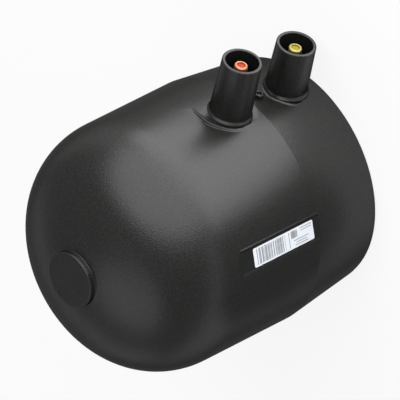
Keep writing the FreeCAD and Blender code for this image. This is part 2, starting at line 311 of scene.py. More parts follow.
class Shader(Writer):
    """A material and the node tree that is being written into it."""

    def __init__(self, name: str) -> None:
        """Starts an empty material.

        Args:
            name: name of the material.
        """
        self.material = bpy.data.materials.new(name)
        self.material.use_nodes = True
        super().__init__(self.material.node_tree)
        self.tree.nodes.clear()

    def place(self) -> Signal:
        """Object coordinates, in metres."""
        return self.node("ShaderNodeTexCoord", {}, {}).signal("Object")

    def glance(self) -> Signal:
        """How far the surface turns from the eye: 0 seen square on, 1 seen edge on."""
        return self.node("ShaderNodeLayerWeight", {}, {"Blend": 0.5}).signal("Facing")

    def noise(self, size: float, detail: float = 2.0, rough: float = 0.5) -> Signal:
        """Noise about 0.5 in blots of a size in millimetres, with finer layers in it."""
        inputs = {"Vector": self.place(), "Scale": 1.0 / (size * MM), "Detail": detail,
                  "Roughness": rough}
        return self.node("ShaderNodeTexNoise", {}, inputs).signal("Fac")

    def blend(self, share: Signal, low: Sequence[float], high: Sequence[float]) -> Signal:
        """Mix of two linear colours, from the first at share 0 to the second at share 1."""
        inputs = {"Factor": share, 6: (*low, 1.0), 7: (*high, 1.0)}
        return self.node("ShaderNodeMix", {"data_type": "RGBA"}, inputs).signal(2)

    def bump(self, height: Signal, depth: float, strength: float = 1.0,
             under: Union[Signal, None] = None) -> Signal:
        """Bump from a height.

        Args:
            height: height signal of about 0 to 1.
            depth: what a height of 1 stands for, in millimetres.
            strength: share of the bump.
            under: normal that this one is laid over.

        Returns:
            The bent normal.
        """
        inputs: dict[Any, Any] = {
            "Height": height, "Distance": depth * MM, "Strength": strength}
        if under is not None:
            inputs["Normal"] = under
        return self.node("ShaderNodeBump", {}, inputs).signal("Normal")

    def surface(self, inputs: dict[str, Any], matt: Union[Signal, None] = None) -> Material:
        """Ends the tree in a Principled surface.

        Args:
            inputs: its sockets by name.
            matt: share of the surface that has no gloss, where it varies.

        Returns:
            The finished material.
        """
        made = self.node("ShaderNodeBsdfPrincipled", {}, inputs).signal("BSDF")
        if matt is not None:
            dull = self.node("ShaderNodeBsdfPrincipled", {}, {
                "Base Color": inputs["Base Color"], "Roughness": 1.0,
                "Specular IOR Level": 0.0}).signal("BSDF")
            made = self.node("ShaderNodeMixShader", {}, {0: matt, 1: made, 2: dull}).signal()
        self.node("ShaderNodeOutputMaterial", {}, {"Surface": made})
        return self.material


# ---------------------------- finishes


@dataclass(frozen=True)
class MouldedPlastic:
    """Injection-moulded polyethylene: satin skin, fine spark grain and slow flow marks.

    matt_rim is the share of the gloss that the spark grain takes where it is seen edge on.
    """

    name: str
    colour: Colour
    lighter: Colour
    rough_low: float = 0.27
    rough_high: float = 0.36
    grain: float = 0.50
    grain_depth: float = 0.055
    specular: float = 0.44
    matt_rim: float = 0.88

    def material(self) -> Material:
        """Writes the material."""
        shader = Shader(self.name)
        flow = shader.noise(14.0, detail=3.0, rough=0.55)
        grain = shader.noise(self.grain, rough=0.6)
        specks = shader.noise(0.9, detail=1.0).ramp(0.60, 0.78)
        rough = flow * (self.rough_high - self.rough_low) + self.rough_low + specks * 0.05
        waves = shader.bump(flow, depth=0.10, strength=0.6)
        return shader.surface({
            "Base Color": shader.blend(grain.ramp(0.35, 0.75), self.colour, self.lighter),
            "Roughness": rough,
            "Specular IOR Level": self.specular,
            "Normal": shader.bump(grain, self.grain_depth, under=waves),
        }, shader.glance().ramp(0.21, 0.75) * self.matt_rim)


@dataclass(frozen=True)
class TurnedBrass:
    """Turned and plated brass, with fine tool marks round its axis and dull spots."""

    name: str
    colour: Colour
    tarnish: Colour
    rough: float
    metallic: float = 1.0

    def material(self) -> Material:
        """Writes the material."""
        shader = Shader(self.name)
        spots = shader.noise(1.1, detail=3.0, rough=0.6)
        marks = shader.noise(0.12, detail=1.0)
        return shader.surface({
            "Base Color": shader.blend(spots.ramp(0.40, 0.70), self.colour, self.tarnish),
            "Metallic": self.metallic,
            "Roughness": spots * 0.12 + (self.rough - 0.06),
            "Normal": shader.bump(marks, depth=0.010, strength=0.7),
        })


@dataclass(frozen=True)
class CoreResin:
    """Glossy coloured resin of a pin's core."""

    name: str
    colour: Colour
    deep: Colour

    def material(self) -> Material:
        """Writes the material."""
        shader = Shader(self.name)
        cloud = shader.noise(0.7)
        return shader.surface({
            "Base Color": shader.blend(cloud.ramp(0.35, 0.70), self.colour, self.deep),
            "Roughness": cloud * 0.10 + 0.30,
            "Specular IOR Level": 0.14,
            "Normal": shader.bump(cloud, depth=0.03, strength=0.6),
        })


@dataclass(frozen=True)
class LabelFilm:
    """White coated film."""

    name: str
    colour: Colour

    def material(self) -> Material:
        """Writes the material."""
        shader = Shader(self.name)
        tooth = shader.noise(0.25)
        shade = tuple(c * 0.94 for c in self.colour)
        return shader.surface({
            "Base Color": shader.blend(tooth.ramp(0.3, 0.8), self.colour, shade),
            "Roughness": tooth * 0.10 + 0.42,
            "Normal": shader.bump(tooth, depth=0.004, strength=0.5),
        })


@dataclass(frozen=True)
class PrintInk:
    """Matt print on the label."""

    name: str
    colour: Colour

    def material(self) -> Material:
        """Writes the material."""
        shader = Shader(self.name)
        tooth = shader.noise(0.12)
        shade = tuple(min(1.0, c * 1.5 + 0.01) for c in self.colour)
        return shader.surface({
            "Base Color": shader.blend(tooth.ramp(0.45, 0.8), self.colour, shade),
            "Roughness": tooth * 0.12 + 0.5,
        })


class Finish(Enum):
    """The finishes of the cap, by the piece that wears them."""

    SHELL = MouldedPlastic(
        "black_polyethylene", (0.0060, 0.0060, 0.0057), (0.0145, 0.0145, 0.0138))
    # Darker, duller plastic for the shrouds' walls: painted shade in the deep holes.
    SHROUD_PAINTED_SHADE = MouldedPlastic(
        "shroud_painted_shade", (0.0035, 0.0035, 0.0035), (0.0060, 0.0060, 0.0060),
        rough_low=0.55, rough_high=0.65, specular=0.08)
    # Smoother plastic for the pocket's floor; its slightly darker colour is painted shade in
    # the pocket.
    POCKET = MouldedPlastic(
        "pocket_polyethylene", (0.0060, 0.0062, 0.0066), (0.0110, 0.0113, 0.0120),
        rough_low=0.20, rough_high=0.27, grain_depth=0.015)
    INDICATOR = MouldedPlastic(
        "indicator_polyethylene", (0.012, 0.012, 0.0125), (0.02, 0.02, 0.02),
        rough_low=0.30, rough_high=0.40)
    COPPER_TONE = TurnedBrass(
        "copper_tone_brass", (0.42, 0.185, 0.095), (0.30, 0.125, 0.062), 0.42, metallic=0.8)
    YELLOW = TurnedBrass(
        "yellow_brass", (0.32, 0.275, 0.085), (0.22, 0.185, 0.052), 0.40, metallic=0.8)
    RED_CORE = CoreResin("red_core", (0.29, 0.020, 0.008), (0.23, 0.014, 0.006))
    YELLOW_CORE = CoreResin("yellow_core", (0.205, 0.168, 0.008), (0.16, 0.128, 0.006))
    WIRE = TurnedBrass("resistance_wire", (0.62, 0.58, 0.52), (0.40, 0.36, 0.32), 0.30)
    FILM = LabelFilm("label_film", (0.68, 0.715, 0.77))
    BARS = PrintInk("bar_print", (0.16, 0.165, 0.18))
    LINES = PrintInk("grey_print", (0.30, 0.315, 0.35))


# ---------------------------- the moulding


LEAN = math.radians(2.3)
BODY_R = 38.5
MOUTH_R = 35.3
KINK_Z = 26.5
NEAR_TURN = 0.5  # radians on either side of a tower or the label that their shapes can reach
SEAT_DEEPEST = 1.0  # most that a tower's flat seat lies below the skin
SEAT_SHALLOWER = 0.72  # how much less that is on the mouth's side of the tower
SEAT_EASE = 4.0  # distance over which the seat changes to that
LIP_REACH = 20.0  # distance from a tower past which its lip does nothing
LIP_FADE = 3.0  # distance over which the hollow outside the lip fades


def skirt_drop(z: Union[float, np.ndarray]) -> Union[float, np.ndarray]:
    """How far the skirt lies inside the largest radius at a height, in millimetres."""
    return (BODY_R - MOUTH_R) * np.maximum(0.0, 1.0 - z / KINK_Z)


@dataclass(frozen=True)
class Tower:
    """One terminal tower: its place, and its sizes along and about its leaning axis.

    Each row of the lip holds a bearing in degrees, and there the lip's radius, its rise, the
    hollow outside it and the trough inside it.
    """

    side: str
    z: float
    top: float
    seat: float
    lip: tuple[tuple[float, float, float, float, float], ...]
    root: float = 1.8
    collar_r: float = 6.9
    foot: float = 0.75
    foot_r: float = 6.32
    top_r: float = 5.95
    shroud_r: float = 4.95
    shroud_floor_r: float = 4.7
    shroud_depth: float = 12.0
    pin_sunk: float = 1.5

    @property
    def floor(self) -> float:
        """Height of the shroud's floor."""
        return self.top - self.shroud_depth

    @property
    def pin_top(self) -> float:
        """Height of the pin's tip."""
        return self.top - self.pin_sunk

    def place(self) -> Matrix:
        """Matrix from the tower's own axis to the part, in millimetres."""
        lean, stand = math.sin(LEAN), math.cos(LEAN)
        return axes_at((lean, 0.0, stand), (0.0, -1.0, 0.0), (stand, 0.0, -lean),
                       (BODY_R, 0.0, self.z))

    def lip_at(self, y: np.ndarray, across: np.ndarray) -> list[np.ndarray]:
        """The foot's lip at the bearings of the vertices.

        Args:
            y: sideways distance of each vertex from the tower.
            across: distance of each vertex from it along the part's axis.

        Returns:
            Radius, rise, hollow and trough at each vertex, in millimetres.
        """
        bearing = np.degrees(np.arctan2(across, y)) % 360.0
        at, *values = zip(*self.lip)
        return [np.interp(bearing, at, value) for value in values]

    def turned(self, shape: Shape) -> None:
        """Turns the tower: foot, tapered wall, rounded top and deep shroud.

        Args:
            shape: mesh that takes the tower.
        """
        section = rounded([
            (0.0, self.seat - self.root, 0.0),
            (self.collar_r, self.seat - self.root, 0.2),
            (self.collar_r, self.seat - 0.05, 0.3),
            (self.foot_r, self.seat + self.foot, 0.55),
            (self.top_r, self.top, 0.45),
            (self.shroud_r, self.top, 0.38),
            (self.shroud_floor_r, self.floor, 0.4),
            (0.0, self.floor, 0.0),
        ], 6)
        shape.turned(section, 96, self.place())


DOME_LIP = (
    (0.0, 8.2, 0.0, 0.0, 0.0), (36.0, 9.4, 0.0, 0.0, 0.0), (50.0, 11.2, 0.0, 0.0, 0.0),
    (56.0, 10.95, 0.08, 0.08, 0.0), (66.0, 10.45, 0.18, 0.22, 0.0),
    (75.0, 10.05, 0.26, 0.38, 0.0), (91.0, 9.80, 0.30, 0.55, 0.05),
    (101.0, 9.50, 0.30, 0.55, 0.15), (112.0, 9.10, 0.30, 0.50, 0.30),
    (122.0, 8.85, 0.30, 0.40, 0.48), (132.0, 8.62, 0.30, 0.28, 0.62),
    (143.0, 8.46, 0.30, 0.18, 0.66), (156.0, 8.12, 0.30, 0.08, 0.66),
    (172.0, 7.80, 0.28, 0.02, 0.50), (181.0, 7.75, 0.26, 0.0, 0.35),
    (191.0, 7.70, 0.20, 0.0, 0.15), (215.0, 7.60, 0.0, 0.0, 0.0), (240.0, 7.4, 0.0, 0.0, 0.0),
    (300.0, 7.4, 0.0, 0.0, 0.0), (360.0, 8.2, 0.0, 0.0, 0.0))
MOUTH_LIP = (
    (0.0, 7.4, 0.0, 0.0, 0.0), (45.0, 7.3, 0.0, 0.0, 0.0), (64.0, 7.25, 0.20, 0.0, 0.30),
    (87.0, 8.15, 0.30, 0.06, 0.66), (99.0, 8.60, 0.30, 0.10, 0.66),
    (110.0, 8.45, 0.30, 0.08, 0.66), (122.0, 8.15, 0.30, 0.05, 0.66),
    (135.0, 8.15, 0.30, 0.02, 0.66), (152.0, 8.25, 0.30, 0.0, 0.66),
    (166.0, 7.95, 0.30, 0.0, 0.60), (182.0, 7.25, 0.20, 0.0, 0.30),
    (200.0, 7.3, 0.0, 0.0, 0.0), (360.0, 7.4, 0.0, 0.0, 0.0))
DOME_TOWER = Tower("dome", 33.8, 18.3, -0.55, DOME_LIP)
MOUTH_TOWER = Tower("mouth", 10.5, 14.3, -0.05 - skirt_drop(10.5), MOUTH_LIP)
TOWERS = (DOME_TOWER, MOUTH_TOWER)
INDICATOR_Z = 22.15
INDICATOR_TOP = 1.4 - skirt_drop(INDICATOR_Z)  # rim of its well, outside the largest radius
INDICATOR_PLACE = axes_at((0.0, 0.0, 1.0), (0.0, -1.0, 0.0), (1.0, 0.0, 0.0),
                          (BODY_R, 0.0, INDICATOR_Z))


@dataclass
class LabelPlace:
    """Where the label's pocket lies on the side, its size and the bead along one edge."""

    turn: float = math.radians(-66.0)
    z: float = 41.8
    long: float = 32.4
    high: float = 6.9
    depth: float = 0.5
    corner: float = 0.8
    bead_rise: float = 0.17
    bead_off: float = 0.62
    bead_width: float = 0.30

    def place(self) -> Matrix:
        """Matrix from the label's flat (across, along the part's axis, out) to the part."""
        c, s = math.cos(self.turn), math.sin(self.turn)
        out = BODY_R - self.depth
        return axes_at((-s, c, 0.0), (0.0, 0.0, 1.0), (c, s, 0.0), (out * c, out * s, 0.0))


@dataclass
class Skin:
    """The skirt's outer skin while it is worked: angle, height and radius of each vertex."""

    turn: np.ndarray
    z: np.ndarray
    radius: np.ndarray

    def plane(self, distance: Union[float, np.ndarray], off: np.ndarray,
              near: np.ndarray) -> np.ndarray:
        """Radius at which the near vertices, turned off by an angle, meet a plane."""
        return np.where(near, distance / np.where(near, np.cos(off), 1.0), self.radius)

    def sink_seat(self, tower: Tower) -> None:
        """Sinks a flat seat round a tower's foot, shallower and softer towards the mouth.

        Args:
            tower: the tower that stands on the seat.
        """
        x = self.radius * np.cos(self.turn) - BODY_R
        y = self.radius * np.sin(self.turn)
        off_z = self.z - tower.z
        across = x * math.sin(LEAN) + off_z * math.cos(LEAN)
        away = np.hypot(y, across)
        near = np.abs(self.turn) < NEAR_TURN
        flat_x = BODY_R + (tower.seat + off_z * math.sin(LEAN)) / math.cos(LEAN)
        flat = self.plane(flat_x, self.turn, near)
        mouthward = smooth_step(0.0, -SEAT_EASE, across)
        lowest = self.radius - SEAT_DEEPEST + SEAT_SHALLOWER * mouthward
        cut = np.clip(flat, lowest, self.radius)
        lip_r, _, hollow, trough = tower.lip_at(y, across)
        soft = 0.25 + 1.0 * mouthward + 2.4 * hollow
        seat_r = lip_r - 0.35 - 2.0 * hollow
        share = smooth_step(seat_r + soft, seat_r - soft, away) * near
        trough = trough * smooth_step(lip_r - 0.3, tower.collar_r + 0.2, away)
        self.radius = self.radius + (cut - self.radius - trough) * share

    def raise_lip(self, tower: Tower) -> None:
        """Raises the lip round the near side of a tower's foot, and eases the skin below it.

        Args:
            tower: the tower that the lip goes round.
        """
        y, across = BODY_R * np.sin(self.turn), self.z - tower.z
        near = (np.abs(self.turn) < NEAR_TURN) & (np.abs(across) < LIP_REACH)
        away = np.hypot(y, across)
        lip_r, rise, hollow, _ = tower.lip_at(y, across)
        inner = smooth_step(lip_r - 0.9, lip_r - 0.2, away)
        outer = smooth_step(lip_r + 0.45, lip_r + 0.02, away)
        fading = np.exp(-np.maximum(away - lip_r, 0.0) / LIP_FADE)
        beyond = smooth_step(lip_r + 0.02, lip_r + 0.34, away) * fading
        self.radius = self.radius + (rise * (inner * outer) - hollow * beyond) * near

    def sink_pocket(self, label: LabelPlace) -> None:
        """Sinks the label's flat pocket, with eased edges, and raises the bead beside it.

        Args:
            label: the pocket's place and sizes.
        """
        off = self.turn - label.turn
        near = np.abs(off) < NEAR_TURN
        across = np.abs(self.radius * np.sin(off)) - label.high / 2.0 + label.corner
        along = np.abs(self.z - label.z) - label.long / 2.0 + label.corner
        # signed distance from the pocket's rounded outline
        edge = (np.hypot(np.maximum(across, 0.0), np.maximum(along, 0.0))
                + np.minimum(np.maximum(across, along), 0.0) - label.corner)
        flat = self.plane(BODY_R - label.depth, off, near)
        below = smooth_step(0.0, -0.06, off)
        share = smooth_step(0.30 + 0.5 * below, -0.12 - 0.3 * below, edge) * near
        crest = np.exp(-((edge - label.bead_off) / label.bead_width) ** 2)
        bead = label.bead_rise * crest * smooth_step(0.03, 0.07, off) * near
        bead = bead * smooth_step(0.6, 0.0, along)
        sunk = np.minimum(self.radius, flat) - self.radius
        self.radius = self.radius + sunk * share + bead


@dataclass
class CapMoulding:
    """The black moulding: skirt, dome and gate, label pocket, spot faces and towers."""

    label: LabelPlace = field(default_factory=LabelPlace)
    mouth_round: float = 1.6
    shoulder_z: float = 60.3
    knuckle_r: float = 26.0
    crown_r: float = 51.2
    gate_r: float = 8.7
    gate_rise: float = 1.2
    bore_r: float = 31.8
    recess_r: float = 32.73
    recess_low: float = 9.87
    recess_high: float = 34.97
    stop_z: float = 50.0
    chamber_r: float = 30.0
    chamber_z: float = 79.518
    chamber_bevel: float = 15.5
    boss_r: float = 1.36
    boss_root: float = 4.4
    well_r: float = 0.8
    well_depth: float = 4.0

    def columns(self) -> np.ndarray:
        """Angles of the mesh's columns in radians, close at the towers and the label."""
        edge = math.degrees(self.label.high / 2.0 / BODY_R)
        middle = math.degrees(self.label.turn)
        spans = [
            np.arange(-180.0, 180.0, 3.0),
            np.arange(-17.0, 17.01, 0.42),
            np.arange(middle - edge - 0.9, middle - edge + 0.9, 0.12),
            np.arange(middle + edge - 0.9, middle + edge + 2.1, 0.12),
        ]
        return np.radians(self.thinned(np.concatenate(spans), 0.06))

    @staticmethod
    def thinned(values: np.ndarray, gap: float) -> np.ndarray:
        """Sorted values with near doubles left out.

        Args:
            values: values in any order.
            gap: least distance between two that stay.

        Returns:
            The values that stay, in order.
        """
        kept: list[float] = []
        for value in np.sort(values):
            if not kept or value - kept[-1] > gap:
                kept.append(float(value))
        return np.array(kept)

    def skirt_heights(self) -> np.ndarray:
        """Heights of the skirt's rows, close at the towers, the label's ends and the kink."""
        middle, half = self.label.z, self.label.long / 2.0
        low, high = middle - half, middle + half
        spans = [
            np.arange(self.mouth_round, 46.5, 0.33),
            np.arange(15.5, 20.0, 0.16),
            np.arange(40.0, 45.6, 0.15),
            np.arange(46.5, self.shoulder_z, 0.9),
            np.arange(low - 0.6, low + 0.6, 0.09),
            np.arange(high - 0.6, high + 0.6, 0.09),
            [KINK_Z - 0.08, KINK_Z, KINK_Z + 0.08, self.shoulder_z],
        ]
        return self.thinned(np.concatenate(spans), 0.05)

    def dome_section(self) -> list[Point]:
        """Outline from the gate's middle down to the shoulder."""
        knuckle_x = BODY_R - self.knuckle_r
        gap = self.crown_r - self.knuckle_r
        crown_z = self.shoulder_z - math.sqrt(gap * gap - knuckle_x * knuckle_x)
        joint = math.acos(knuckle_x / gap)
        at_gate = math.acos(self.gate_r / self.crown_r)
        foot = crown_z + math.sqrt(self.crown_r ** 2 - self.gate_r ** 2)
        top = crown_z + self.crown_r + self.gate_rise
        beside = at_gate - 0.03
        gate = rounded([
            (0.0, top, 0.0),
            (self.gate_r, top, 0.35),
            (self.gate_r, foot, 0.25),
            (self.crown_r * math.cos(beside), crown_z + self.crown_r * math.sin(beside), 0.0),
        ])
        inner = [(self.gate_r * share, top) for share in (0.3, 0.6, 0.85)]
        crown = arc((0.0, crown_z), self.crown_r, at_gate - 0.06, joint, 12)
        knuckle = arc((knuckle_x, self.shoulder_z), self.knuckle_r, joint, 0.0, 26)
        return gate[:1] + inner + gate[1:] + crown + knuckle[1:-1]

    def inside_section(self) -> list[Point]:
        """Outline from the mouth's outer round in and up to the middle of the chamber."""
        bore, recess = self.bore_r, self.recess_r
        outline = rounded([
            (MOUTH_R, self.mouth_round + 0.5, 0.0),
            (MOUTH_R, 0.0, self.mouth_round),
            (bore + 0.8, 0.0, 0.25),
            (bore, 2.0, 0.5),
            (bore, self.recess_low, 0.2),
            (recess, self.recess_low, 0.2),
            (recess, self.recess_high, 0.2),
            (bore, self.recess_high, 0.2),
            (bore, self.stop_z, 0.3),
            (self.chamber_r, self.stop_z, 0.3),
            (self.chamber_r, self.chamber_z - self.chamber_bevel, 2.0),
            (self.chamber_r - self.chamber_bevel, self.chamber_z, 2.0),
            (0.0, self.chamber_z, 0.0),
        ], 6)
        return outline[2:]

    def body(self, shape: Shape) -> None:
        """Skins the shell as one closed surface, outside and inside.

        Args:
            shape: mesh that takes the shell.
        """
        turn, heights = self.columns(), self.skirt_heights()[::-1]
        z, around = np.meshgrid(heights, turn, indexing="ij")
        skin = Skin(around, z, BODY_R - skirt_drop(z))
        for tower in TOWERS:
            skin.sink_seat(tower)
            skin.raise_lip(tower)
        skin.sink_pocket(self.label)
        rows = self.dome_section() + list(zip(skin.radius, heights)) + self.inside_section()
        shape.grid([ring_of(radius, height, turn) for radius, height in rows])

    def indicator_boss(self, shape: Shape) -> None:
        """Turns the small well of the fusion indicator, between the towers.

        Args:
            shape: mesh that takes the well.
        """
        top = INDICATOR_TOP
        section = rounded([
            (0.0, top - self.boss_root, 0.0),
            (self.boss_r, top - self.boss_root, 0.1),
            (self.boss_r, top, 0.22),
            (self.well_r, top, 0.14),
            (self.well_r, top - self.well_depth, 0.1),
            (0.0, top - self.well_depth, 0.0),
        ], 5)
        shape.turned(section, 48, INDICATOR_PLACE)

    def dressed(self, piece: Object) -> None:
        """Gives the shrouds' walls a darker, duller finish, as painted shade in the deep
        shrouds, and the pocket's floor a smoother finish whose slightly darker colour is
        painted shade in the pocket.

        Args:
            piece: the moulding, with its main finish in place.
        """
        mesh = piece.data
        middles = np.empty(len(mesh.polygons) * 3)
        mesh.polygons.foreach_get("center", middles)
        middles = np.column_stack([middles.reshape(-1, 3) / MM, np.ones(len(mesh.polygons))])
        worn = np.zeros(len(mesh.polygons), np.int32)
        for tower in TOWERS:
            across, along, up = (middles @ np.array(tower.place().inverted()).T)[:, :3].T
            in_shroud_shade = (np.hypot(across, along) < tower.shroud_r) & (up > tower.floor - 0.1)
            # The shroud's walls take the darker finish: painted shade in the deep hole.
            worn[in_shroud_shade] = 1
        across, along, out = (middles @ np.array(self.label.place().inverted()).T)[:, :3].T
        half_high, half_long = self.label.high / 2.0 - 0.1, self.label.long / 2.0 - 0.1
        in_pocket = (np.abs(across) < half_high) & (np.abs(along - self.label.z) < half_long)
        # The pocket's floor takes the smoother finish, whose slightly darker colour is painted
        # shade.
        worn[in_pocket & (np.abs(out) < 0.1)] = 2
        for finish in (Finish.SHROUD_PAINTED_SHADE, Finish.POCKET):
            mesh.materials.append(finish.value.material())
        mesh.polygons.foreach_set("material_index", worn)

    def make(self) -> Object:
        """Builds and dresses the moulding."""
        shape = Shape()
        self.body(shape)
        for tower in TOWERS:
            tower.turned(shape)
        self.indicator_boss(shape)
        piece = shape.piece("cap_moulding", Finish.SHELL.value.material(), 50.0)
        self.dressed(piece)
        return settle(piece, "black_polyethylene", "cap_body")


# ---------------------------- terminals and indicator


@dataclass
class Terminal:
    """A brass pin with its flange and root, and the coloured core in its tip."""

    tower: Tower
    brass: Finish
    core: Finish
    pin_r: float = 2.0
    flange_r: float = 2.9
    root_r: float = 2.4
    root_end: float = -4.6
    flange_thick: float = 1.2
    tip_bevel: float = 0.28
    core_r: float = 1.3
    core_depth: float = 6.0
    core_sunk: float = 0.15
    core_crown: float = 0.25
    core_slack: float = 0.02

    def pin_section(self) -> list[Point]:
        """Half section of the pin."""
        floor, top = self.tower.floor, self.tower.pin_top
        return rounded([
            (0.0, self.root_end, 0.0),
            (self.root_r, self.root_end, 0.15),
            (self.root_r, floor - self.flange_thick, 0.0),
            (self.flange_r, floor - self.flange_thick, 0.1),
            (self.flange_r, floor, 0.1),
            (self.pin_r, floor, 0.15),
            (self.pin_r, top - self.tip_bevel, 0.1),
            (self.pin_r - self.tip_bevel, top, 0.1),
            (self.core_r, top, 0.08),
            (self.core_r, top - self.core_depth, 0.0),
            (0.0, top - self.core_depth, 0.0),
        ], 4)

    def core_section(self) -> list[Point]:
        """Half section of the core, with its low crown."""
        radius = self.core_r - self.core_slack
        low, high = self.tower.pin_top - self.core_depth, self.tower.pin_top - self.core_sunk
        ball = (radius * radius + self.core_crown * self.core_crown) / (2.0 * self.core_crown)
        half = math.asin(radius / ball)
        crown = arc((0.0, high - ball), ball, math.pi / 2.0 - half, math.pi / 2.0, 8)
        wall = [(radius, low), (radius, high - 0.6)]  # its second ring keeps the rim crisp
        return [(0.0, low)] + wall + crown[:-1] + [(0.0, high)]

    def make(self) -> list[Object]:
        """Builds and dresses the pin and its core."""
        pin, core = Shape(), Shape()
        pin.turned(self.pin_section(), 64, self.tower.place())
        core.turned(self.core_section(), 48, self.tower.place())
        brass, resin, side = self.brass.value, self.core.value, self.tower.side
        dressed_pin = pin.piece(side + "_pin", brass.material())
        dressed_core = core.piece(side + "_pin_core", resin.material())
        return [settle(dressed_pin, brass.name, side + "_terminal_pin"),
                settle(dressed_core, resin.name, resin.name)]


@dataclass
class FusionIndicator:
    """Loose pin that stands in the indicator's well."""

    pin_r: float = 0.74
    foot: float = 3.99
    sunk: float = 0.6

    def make(self) -> Object:
        """Builds and dresses the pin."""
        low, high = INDICATOR_TOP - self.foot, INDICATOR_TOP - self.sunk
        shape = Shape()
        section = rounded([
            (0.0, low, 0.0), (self.pin_r, low, 0.1), (self.pin_r, high, 0.15), (0.0, high, 0.0),
        ], 4)
        shape.turned(section, 36, INDICATOR_PLACE)
        piece = shape.piece("indicator_pin_dressed", Finish.INDICATOR.value.material())
        return settle(piece, "indicator_polyethylene", "indicator_pin")


# ---------------------------- geometry nodes


class Recipe(Writer):
    """A Geometry Nodes tree that is written here, run once and turned into a plain mesh."""

    def __init__(self, name: str) -> None:
        """Starts an empty tree with a geometry output.

        Args:
            name: name of the tree.
        """
        super().__init__(bpy.data.node_groups.new(name, "GeometryNodeTree"))
        self.tree.interface.new_socket("Geometry", in_out="OUTPUT",
                                       socket_type="NodeSocketGeometry")
        self.source = self.tree.nodes.new("NodeGroupInput")
        self.values: dict[str, Union[float, int]] = {}

    def size(self, name: str, value: Union[float, int]) -> Signal:
        """Adds a named input and remembers its value.

        Args:
            name: name of the input.
            value: its value, in metres where it is a length.

        Returns:
            The input, to build on.
        """
        kind = "NodeSocketInt" if isinstance(value, int) else "NodeSocketFloat"
        item = self.tree.interface.new_socket(name, in_out="INPUT", socket_type=kind)
        self.values[item.identifier] = value
        return Signal(self, self.source.outputs[name])

    def vector(self, x: Value = 0.0, y: Value = 0.0, z: Value = 0.0) -> Signal:
        """Adds a Combine XYZ node and returns its vector."""
        return self.node("ShaderNodeCombineXYZ", {}, {"X": x, "Y": y, "Z": z}).signal()

    def finish(self, geometry: Signal, material: Material) -> None:
        """Ends the tree in real geometry with its finish.

        Args:
            geometry: what the tree has made.
            material: the finish that it wears.
        """
        real = self.node("GeometryNodeRealizeInstances", {}, {0: geometry}).signal()
        inputs = {"Geometry": real, "Material": material}
        worn = self.node("GeometryNodeSetMaterial", {}, inputs)
        self.node("NodeGroupOutput", {}, {0: worn.signal()})

    def run(self, name: str, crease: float = 40.0) -> Object:
        """Runs the tree on an empty mesh and keeps its result as a plain mesh.

        Args:
            name: name of the object.
            crease: angle in degrees past which an edge stays sharp.

        Returns:
            The linked object, without modifiers.
        """
        thing = linked(bpy.data.objects.new(name, bpy.data.meshes.new(name + "_seed")))
        modifier = thing.modifiers.new(self.tree.name, "NODES")
        modifier.node_group = self.tree
        for identifier, value in self.values.items():
            modifier[identifier] = value
        ready = thing.evaluated_get(bpy.context.evaluated_depsgraph_get())
        mesh = bpy.data.meshes.new_from_object(ready)
        mesh.name = name
        worn = [material for material in mesh.materials if material][0]
        mesh.materials.clear()
        mesh.materials.append(worn)
        mesh.polygons.foreach_set("material_index", np.zeros(len(mesh.polygons), np.int32))
        thing.modifiers.remove(modifier)
        thing.data = mesh
        mesh.shade_smooth()
        mesh.set_sharp_from_angle(angle=math.radians(crease))
        return thing


@dataclass
class HeatingCoil:
    """Resistance wire wound in the bore, with a lead into the root of each pin."""

    wire_r: float = 0.45
    coil_r: float = 32.25
    turns: float = 6.0
    low_z: float = 10.769
    high_z: float = 34.069
    lead_end: float = 35.5
    turn_steps: int = 96
    wire_steps: int = 10

    def lead(self, recipe: Recipe, z: Signal) -> Signal:
        """Straight lead from the winding out into a pin's root.

        Args:
            recipe: tree that takes the lead.
            z: its height.

        Returns:
            The lead's curve.
        """
        near, far = (recipe.vector(x * MM, 0.0, z) for x in (self.coil_r, self.lead_end))
        inputs = {"Start": near, "End": far}
        return recipe.node("GeometryNodeCurvePrimitiveLine", {}, inputs).signal()

    def make(self) -> Object:
        """Builds and dresses the winding."""
        recipe = Recipe("winding")
        radius = recipe.size("Coil radius", self.coil_r * MM)
        turns = recipe.size("Turns", self.turns)
        low = recipe.size("First turn height", self.low_z * MM)
        high = recipe.size("Last turn height", self.high_z * MM)
        wire = recipe.size("Wire radius", self.wire_r * MM)
        spiral = recipe.node("GeometryNodeCurveSpiral", {}, {
            "Resolution": self.turn_steps, "Rotations": turns, "Start Radius": radius,
            "End Radius": radius, "Height": high - low}).signal()
        raised = recipe.node("GeometryNodeTransform", {}, {
            "Geometry": spiral, "Translation": recipe.vector(0.0, 0.0, low)}).signal()
        leads = [self.lead(recipe, low), self.lead(recipe, high)]
        paths = recipe.node("GeometryNodeJoinGeometry", {}, {0: [raised] + leads}).signal()
        profile = recipe.node("GeometryNodeCurvePrimitiveCircle", {}, {
            "Resolution": self.wire_steps, "Radius": wire}).signal()
        tube = recipe.node("GeometryNodeCurveToMesh", {}, {
            "Curve": paths, "Profile Curve": profile, "Fill Caps": True}).signal()
        recipe.finish(tube, Finish.WIRE.value.material())
        return settle(recipe.run("winding_and_leads", 50.0), "resistance_wire", "heating_coil")


@dataclass(frozen=True)
class PrintRun:
    """One run of strips on the label, in millimetres: bars across it or lines along it.

    widest is a strip's largest width in pitches and least its smallest in shares of that, and
    kept is the share of the strips that are printed.
    """

    name: str
    ink: Finish
    count: int
    z: float
    across: float
    pitch: float
    length: float
    widest: float
    least: float
    kept: float
    seed: int
    lengthwise: bool = False


